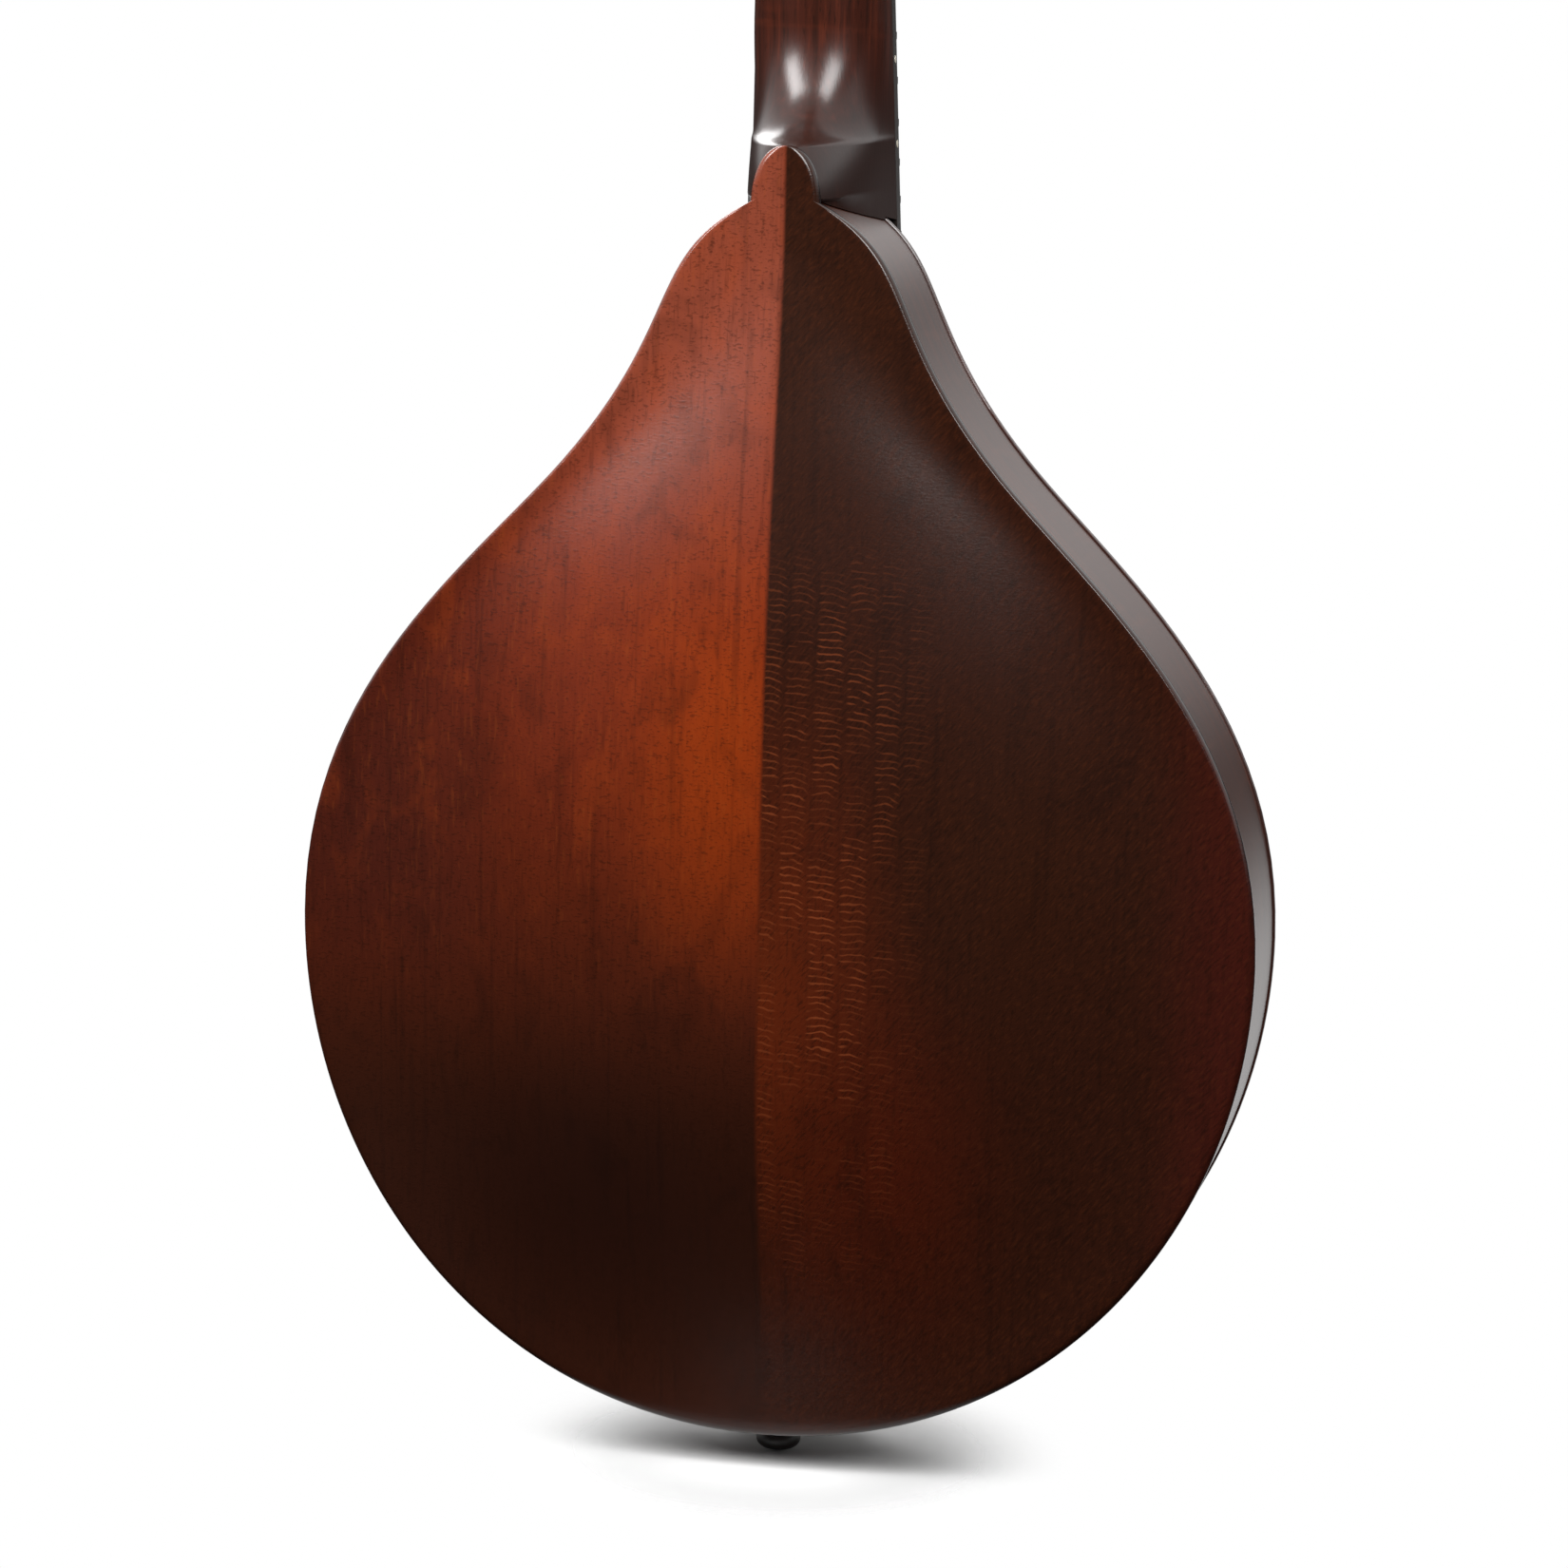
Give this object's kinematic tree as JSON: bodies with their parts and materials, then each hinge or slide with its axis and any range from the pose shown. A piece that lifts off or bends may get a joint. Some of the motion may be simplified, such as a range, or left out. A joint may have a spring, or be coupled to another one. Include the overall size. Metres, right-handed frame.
{
  "type": "a-style mandolin",
  "caption": "Pear-shaped mandolin with carved back and top, oval sound hole, worm-geared tuners, height-adjustable bridge and slide-off tailpiece cover.",
  "frame": {"origin": "centre of the end pin's flat outer face, at the tail", "axes": "+Z along the neck from the tail to the headstock, -Y the way the strings face, +Y the carved back, +X the treble side"},
  "size_m": [0.254, 0.1093, 0.6644],
  "materials": {
    "maple_back": "satin stained and lacquered figured maple",
    "maple_rib": "satin stained maple",
    "maple_neck": "satin stained maple",
    "spruce_top": "satin stained spruce",
    "spruce_bar": "bare spruce",
    "bare_wood": "bare basswood",
    "ebony": "oiled black hardwood",
    "head_face": "black lacquered veneer",
    "bone": "polished bone substitute",
    "nickel": "nickel plate",
    "steel": "bare steel",
    "brass": "turned brass",
    "bronze": "bronze wound string",
    "cream_plastic": "pearl effect plastic"
  },
  "bodies": {
    "mandolin": {"back_plate": "maple_back", "top_plate": "spruce_top", "rib_bass": "maple_rib", "rib_treble": "maple_rib", "lining_top_bass": "bare_wood", "lining_top_treble": "bare_wood", "lining_back_bass": "bare_wood", "lining_back_treble": "bare_wood", "neck_block": "bare_wood", "tail_block": "bare_wood", "tone_bar": "spruce_bar", "end_pin": "ebony", "neck": "maple_neck", "head_plate": "head_face", "fingerboard": "ebony", "fingerboard_riser": "maple_neck", "nut": "bone", "truss_rod": "steel", "truss_rod_cover": "head_face", "bridge_base": "ebony", "tailpiece_base": "nickel", "tuner_plate_bass": "nickel", "tuner_plate_treble": "nickel", "string_1": "bronze", "string_2": "bronze", "string_3": "bronze", "string_4": "bronze", "string_5": "steel", "string_6": "steel", "string_7": "steel", "string_8": "steel"},
    "knob_bass_1": {"worm_shaft_bass_1": "steel", "tuner_knob_bass_1": "cream_plastic"},
    "post_bass_1": {"string_post_bass_1": "nickel"},
    "knob_bass_2": {"worm_shaft_bass_2": "steel", "tuner_knob_bass_2": "cream_plastic"},
    "post_bass_2": {"string_post_bass_2": "nickel"},
    "knob_bass_3": {"worm_shaft_bass_3": "steel", "tuner_knob_bass_3": "cream_plastic"},
    "post_bass_3": {"string_post_bass_3": "nickel"},
    "knob_bass_4": {"worm_shaft_bass_4": "steel", "tuner_knob_bass_4": "cream_plastic"},
    "post_bass_4": {"string_post_bass_4": "nickel"},
    "knob_treble_1": {"worm_shaft_treble_1": "steel", "tuner_knob_treble_1": "cream_plastic"},
    "post_treble_1": {"string_post_treble_1": "nickel"},
    "knob_treble_2": {"worm_shaft_treble_2": "steel", "tuner_knob_treble_2": "cream_plastic"},
    "post_treble_2": {"string_post_treble_2": "nickel"},
    "knob_treble_3": {"worm_shaft_treble_3": "steel", "tuner_knob_treble_3": "cream_plastic"},
    "post_treble_3": {"string_post_treble_3": "nickel"},
    "knob_treble_4": {"worm_shaft_treble_4": "steel", "tuner_knob_treble_4": "cream_plastic"},
    "post_treble_4": {"string_post_treble_4": "nickel"},
    "saddle": {"bridge_saddle": "ebony"},
    "thumbwheel_bass": {"thumbwheel_bass": "brass"},
    "thumbwheel_treble": {"thumbwheel_treble": "brass"},
    "tailpiece_cover": {"tailpiece_cover": "nickel"}
  },
  "joints": [
    {"name": "knob_turn_bass_1", "type": "hinge", "parent": "mandolin", "child": "knob_bass_1", "pos_m": [-0.0215, 0.01841, 0.54961], "axis": [1, 0, 0], "continuous": true},
    {"name": "post_turn_bass_1", "type": "hinge", "parent": "mandolin", "child": "post_bass_1", "pos_m": [-0.0215, 0.01645, 0.55734], "axis": [0, 0.9367, -0.3502], "continuous": true},
    {"name": "knob_turn_bass_2", "type": "hinge", "parent": "mandolin", "child": "knob_bass_2", "pos_m": [-0.0215, 0.02647, 0.57115], "axis": [1, 0, 0], "continuous": true},
    {"name": "post_turn_bass_2", "type": "hinge", "parent": "mandolin", "child": "post_bass_2", "pos_m": [-0.0215, 0.0245, 0.57889], "axis": [0, 0.9367, -0.3502], "continuous": true},
    {"name": "knob_turn_bass_3", "type": "hinge", "parent": "mandolin", "child": "knob_bass_3", "pos_m": [-0.0215, 0.03452, 0.5927], "axis": [1, 0, 0], "continuous": true},
    {"name": "post_turn_bass_3", "type": "hinge", "parent": "mandolin", "child": "post_bass_3", "pos_m": [-0.0215, 0.03256, 0.60043], "axis": [0, 0.9367, -0.3502], "continuous": true},
    {"name": "knob_turn_bass_4", "type": "hinge", "parent": "mandolin", "child": "knob_bass_4", "pos_m": [-0.0215, 0.04258, 0.61424], "axis": [1, 0, 0], "continuous": true},
    {"name": "post_turn_bass_4", "type": "hinge", "parent": "mandolin", "child": "post_bass_4", "pos_m": [-0.0215, 0.04061, 0.62197], "axis": [0, 0.9367, -0.3502], "continuous": true},
    {"name": "knob_turn_treble_1", "type": "hinge", "parent": "mandolin", "child": "knob_treble_1", "pos_m": [0.0215, 0.01841, 0.54961], "axis": [1, 0, 0], "continuous": true},
    {"name": "post_turn_treble_1", "type": "hinge", "parent": "mandolin", "child": "post_treble_1", "pos_m": [0.0215, 0.01645, 0.55734], "axis": [0, 0.9367, -0.3502], "continuous": true},
    {"name": "knob_turn_treble_2", "type": "hinge", "parent": "mandolin", "child": "knob_treble_2", "pos_m": [0.0215, 0.02647, 0.57115], "axis": [1, 0, 0], "continuous": true},
    {"name": "post_turn_treble_2", "type": "hinge", "parent": "mandolin", "child": "post_treble_2", "pos_m": [0.0215, 0.0245, 0.57889], "axis": [0, 0.9367, -0.3502], "continuous": true},
    {"name": "knob_turn_treble_3", "type": "hinge", "parent": "mandolin", "child": "knob_treble_3", "pos_m": [0.0215, 0.03452, 0.5927], "axis": [1, 0, 0], "continuous": true},
    {"name": "post_turn_treble_3", "type": "hinge", "parent": "mandolin", "child": "post_treble_3", "pos_m": [0.0215, 0.03256, 0.60043], "axis": [0, 0.9367, -0.3502], "continuous": true},
    {"name": "knob_turn_treble_4", "type": "hinge", "parent": "mandolin", "child": "knob_treble_4", "pos_m": [0.0215, 0.04258, 0.61424], "axis": [1, 0, 0], "continuous": true},
    {"name": "post_turn_treble_4", "type": "hinge", "parent": "mandolin", "child": "post_treble_4", "pos_m": [0.0215, 0.04061, 0.62197], "axis": [0, 0.9367, -0.3502], "continuous": true},
    {"name": "saddle_lift", "type": "slide", "parent": "mandolin", "child": "saddle", "axis": [0, -1, 0], "range_m": [-0.00128, 0.00192], "deforming": ["string_1", "string_2", "string_3", "string_4", "string_5", "string_6", "string_7", "string_8"]},
    {"name": "thumbwheel_turn_bass", "type": "hinge", "parent": "saddle", "child": "thumbwheel_bass", "pos_m": [-0.033, -0.045, 0.16729], "axis": [0, -1, 0], "range_deg": [-576, 864]},
    {"name": "thumbwheel_turn_treble", "type": "hinge", "parent": "saddle", "child": "thumbwheel_treble", "pos_m": [0.033, -0.045, 0.16729], "axis": [0, -1, 0], "range_deg": [-576, 864]},
    {"name": "tailpiece_cover_slide", "type": "slide", "parent": "mandolin", "child": "tailpiece_cover", "axis": [0, 0.1495, -0.9888], "range_m": [0, 0.025]}
  ],
  "couplings": [
    {"joint": "post_turn_bass_1", "follows": "knob_turn_bass_1", "ratio": 0.071429},
    {"joint": "post_turn_bass_2", "follows": "knob_turn_bass_2", "ratio": 0.071429},
    {"joint": "post_turn_bass_3", "follows": "knob_turn_bass_3", "ratio": 0.071429},
    {"joint": "post_turn_bass_4", "follows": "knob_turn_bass_4", "ratio": 0.071429},
    {"joint": "post_turn_treble_1", "follows": "knob_turn_treble_1", "ratio": -0.071429},
    {"joint": "post_turn_treble_2", "follows": "knob_turn_treble_2", "ratio": -0.071429},
    {"joint": "post_turn_treble_3", "follows": "knob_turn_treble_3", "ratio": -0.071429},
    {"joint": "post_turn_treble_4", "follows": "knob_turn_treble_4", "ratio": -0.071429},
    {"joint": "saddle_lift", "follows": "thumbwheel_turn_bass", "m_per_rad": 0.00012732},
    {"joint": "thumbwheel_turn_treble", "follows": "thumbwheel_turn_bass", "ratio": 1}
  ]
}
